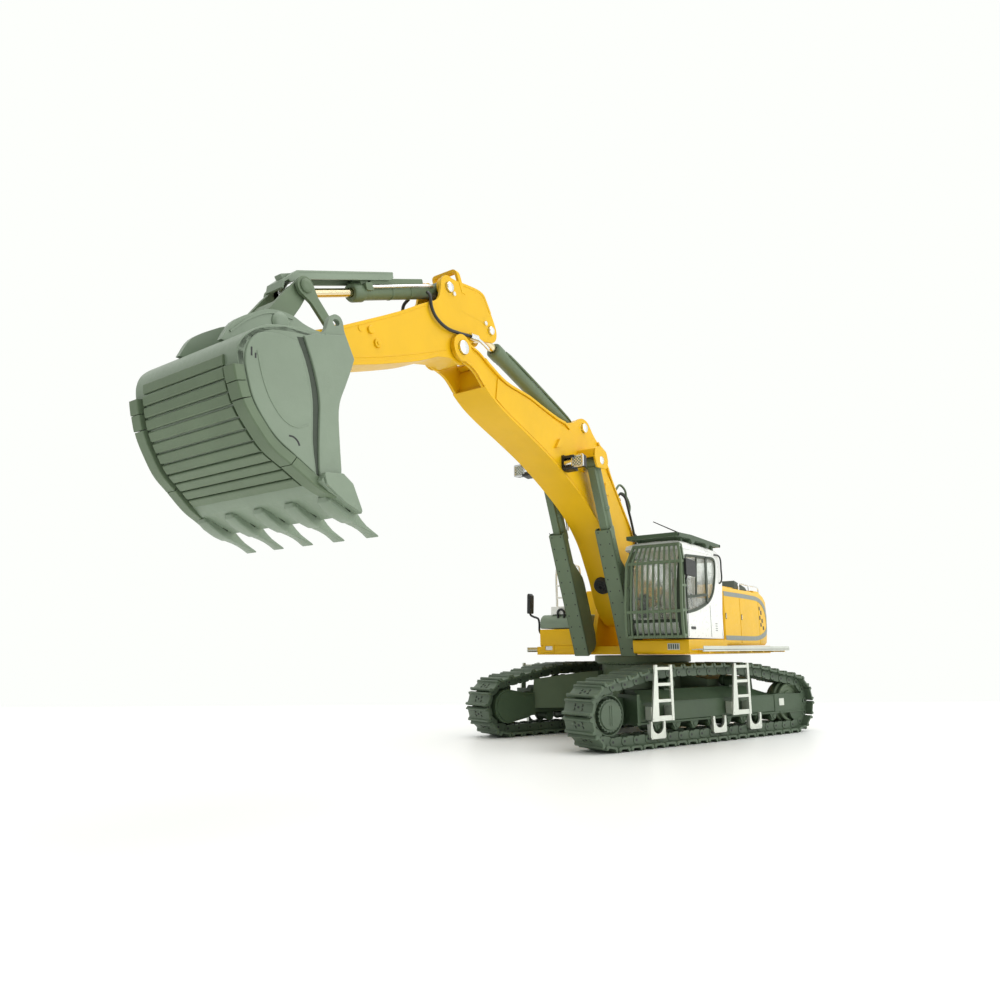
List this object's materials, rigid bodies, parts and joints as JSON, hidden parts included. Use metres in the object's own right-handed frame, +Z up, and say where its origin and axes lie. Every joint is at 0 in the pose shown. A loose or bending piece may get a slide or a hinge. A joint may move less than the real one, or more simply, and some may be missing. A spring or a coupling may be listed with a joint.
{
  "type": "model excavator",
  "caption": "Die-cast scale model of a crawler excavator with a slewing cab and engine house, mono boom, stick, digging bucket and telescoping hydraulic cylinders.",
  "frame": {"origin": "centre of the bounding box at ground level, with the bucket held in front as displayed", "axes": "+X forward along the boom towards the bucket, +Y to the operator's left (cab side), +Z up"},
  "size_m": [0.2676, 0.102, 0.1393],
  "materials": {
    "yellow_paint": "satin warm yellow enamel",
    "grey_paint": "satin green-grey enamel",
    "track_grey": "matt dark green-grey enamel",
    "dark_plastic": "moulded, matt",
    "bright_metal": "plated, bright satin",
    "chrome_rod": "polished",
    "white_plastic": "white, semi-gloss",
    "black_plastic": "moulded, matt",
    "clear_glazing": "clear glazing insert",
    "seat_plastic": "moulded, matt"
  },
  "bodies": {
    "undercarriage": {"track_frame_center": "grey_paint", "side_frame_left": "grey_paint", "side_frame_right": "grey_paint", "track_chain_left": "track_grey", "track_chain_right": "track_grey", "ladder_left_front": "bright_metal", "ladder_left_rear": "bright_metal", "ladder_right_front": "bright_metal", "ladder_right_rear": "bright_metal", "chain_guides_left": "bright_metal", "chain_guides_right": "bright_metal", "slew_ring": "track_grey"},
    "sprocket_left_body": {"sprocket_left": "grey_paint"},
    "sprocket_right_body": {"sprocket_right": "grey_paint"},
    "idler_left_body": {"idler_left": "grey_paint"},
    "idler_right_body": {"idler_right": "grey_paint"},
    "upper_structure": {"main_deck": "yellow_paint", "boom_foot_pin": "bright_metal", "engine_house": "yellow_paint", "counterweight": "yellow_paint", "engine_hood": "dark_plastic", "right_tank_box": "yellow_paint", "right_box_cover": "grey_paint", "step_box": "white_plastic", "cab_shell": "white_plastic", "cab_glazing": "clear_glazing", "operator_seat": "seat_plastic", "cab_front_guard": "dark_plastic", "cab_roof_guard": "dark_plastic", "antenna": "black_plastic", "catwalk_left": "bright_metal", "catwalk_right": "bright_metal", "handrail_right": "white_plastic", "mirror_right": "black_plastic"},
    "boom_body": {"boom": "yellow_paint", "boom_tip_pin": "bright_metal", "stick_cylinder_pin": "bright_metal", "boom_cylinder_pin": "bright_metal", "work_light_left": "bright_metal", "work_light_right": "bright_metal", "boom_hoses": "black_plastic"},
    "boom_rod_left": {"boom_cylinder_rod_left": "chrome_rod", "rod_guard_left": "grey_paint"},
    "boom_rod_right": {"boom_cylinder_rod_right": "chrome_rod", "rod_guard_right": "grey_paint"},
    "boom_barrel_left": {"boom_cylinder_barrel_left": "grey_paint"},
    "boom_barrel_right": {"boom_cylinder_barrel_right": "grey_paint"},
    "stick_barrel": {"stick_cylinder_barrel": "grey_paint"},
    "stick_rod": {"stick_cylinder_rod": "chrome_rod"},
    "stick_body": {"stick": "yellow_paint", "bucket_cylinder_pin": "bright_metal"},
    "bucket_barrel": {"bucket_cylinder_barrel": "grey_paint"},
    "bucket_rod": {"bucket_cylinder_rod": "chrome_rod", "bucket_rod_guard": "grey_paint"},
    "rockers": {"rocker_left": "grey_paint", "rocker_right": "grey_paint"},
    "bucket_body": {"bucket": "grey_paint", "bucket_pin": "bright_metal"},
    "tipping_link_body": {"tipping_link": "grey_paint"}
  },
  "joints": [
    {"name": "slew", "type": "hinge", "parent": "undercarriage", "child": "upper_structure", "pos_m": [-0.0663, 0.00001, 0.0278], "axis": [0, 0, 1], "continuous": true},
    {"name": "sprocket_left_spin", "type": "hinge", "parent": "undercarriage", "child": "sprocket_left_body", "pos_m": [-0.01137, 0.01126, 0.01115], "axis": [0.3079, 0.9514, 0], "continuous": true},
    {"name": "idler_left_spin", "type": "hinge", "parent": "undercarriage", "child": "idler_left_body", "pos_m": [-0.10423, 0.04131, 0.01115], "axis": [0.3079, 0.9514, 0], "continuous": true},
    {"name": "sprocket_right_spin", "type": "hinge", "parent": "undercarriage", "child": "sprocket_right_body", "pos_m": [-0.02838, -0.04129, 0.01115], "axis": [0.3079, 0.9514, 0], "continuous": true},
    {"name": "idler_right_spin", "type": "hinge", "parent": "undercarriage", "child": "idler_right_body", "pos_m": [-0.12124, -0.01125, 0.01115], "axis": [0.3079, 0.9514, 0], "continuous": true},
    {"name": "boom_pivot", "type": "hinge", "parent": "upper_structure", "child": "boom_body", "pos_m": [-0.0513, 0.00001, 0.044], "axis": [0, 1, 0], "range_deg": [-8, 48]},
    {"name": "stick_pivot", "type": "hinge", "parent": "boom_body", "child": "stick_body", "pos_m": [0.0525, 0.00001, 0.1152], "axis": [0, 1, 0], "range_deg": [-4, 66]},
    {"name": "bucket_pivot", "type": "hinge", "parent": "stick_body", "child": "bucket_body", "pos_m": [0.1042, 0.00001, 0.0979], "axis": [0, 1, 0], "range_deg": [-45, 45]},
    {"name": "boom_cylinder_left_pivot", "type": "hinge", "parent": "upper_structure", "child": "boom_rod_left", "pos_m": [-0.0388, 0.00941, 0.033], "axis": [0, 1, 0], "range_deg": [-8.5, 48.5]},
    {"name": "boom_cylinder_left_slide", "type": "slide", "parent": "boom_rod_left", "child": "boom_barrel_left", "axis": [0.361, 0, 0.9326], "range_m": [-0.0138, 0.0024]},
    {"name": "boom_cylinder_right_pivot", "type": "hinge", "parent": "upper_structure", "child": "boom_rod_right", "pos_m": [-0.0388, -0.00939, 0.033], "axis": [0, 1, 0], "range_deg": [-8.5, 48.5]},
    {"name": "boom_cylinder_right_slide", "type": "slide", "parent": "boom_rod_right", "child": "boom_barrel_right", "axis": [0.361, 0, 0.9326], "range_m": [-0.0138, 0.0024]},
    {"name": "stick_cylinder_pivot", "type": "hinge", "parent": "boom_body", "child": "stick_barrel", "pos_m": [-0.0157, 0.00001, 0.1079], "axis": [0, 1, 0], "range_deg": [-0.1, 1.1]},
    {"name": "stick_cylinder_slide", "type": "slide", "parent": "stick_barrel", "child": "stick_rod", "axis": [0.9472, 0, 0.3205], "range_m": [-0.0013, 0.0198]},
    {"name": "rocker_pivot", "type": "hinge", "parent": "stick_body", "child": "rockers", "pos_m": [0.0966, 0.00001, 0.1009], "axis": [0, 1, 0], "range_deg": [-31, 31]},
    {"name": "link_pivot", "type": "hinge", "parent": "bucket_body", "child": "tipping_link_body", "pos_m": [0.1157, 0.00001, 0.0993], "axis": [0, 1, 0], "range_deg": [-23.5, 23.5]},
    {"name": "bucket_cylinder_pivot", "type": "hinge", "parent": "stick_body", "child": "bucket_barrel", "pos_m": [0.057, 0.00001, 0.1322], "axis": [0, 1, 0], "range_deg": [-3.2, 3.2]},
    {"name": "bucket_cylinder_slide", "type": "slide", "parent": "bucket_barrel", "child": "bucket_rod", "axis": [0.9256, 0, -0.3786], "range_m": [-0.0076, 0.0076]}
  ],
  "couplings": [
    {"joint": "boom_cylinder_left_pivot", "follows": "boom_pivot", "ratio": 1},
    {"joint": "boom_cylinder_left_slide", "follows": "boom_pivot", "m_per_rad": -0.016215},
    {"joint": "idler_left_spin", "follows": "sprocket_left_spin", "ratio": 1},
    {"joint": "boom_cylinder_right_pivot", "follows": "boom_pivot", "ratio": 1},
    {"joint": "boom_cylinder_right_slide", "follows": "boom_pivot", "m_per_rad": -0.016215},
    {"joint": "idler_right_spin", "follows": "sprocket_right_spin", "ratio": 1},
    {"joint": "stick_cylinder_pivot", "follows": "stick_pivot", "ratio": 0.0155},
    {"joint": "stick_cylinder_slide", "follows": "stick_pivot", "m_per_rad": 0.016931},
    {"joint": "rocker_pivot", "follows": "bucket_pivot", "ratio": 0.68},
    {"joint": "link_pivot", "follows": "bucket_pivot", "ratio": -0.51},
    {"joint": "bucket_cylinder_pivot", "follows": "bucket_pivot", "ratio": 0.067},
    {"joint": "bucket_cylinder_slide", "follows": "bucket_pivot", "m_per_rad": 0.009454}
  ]
}
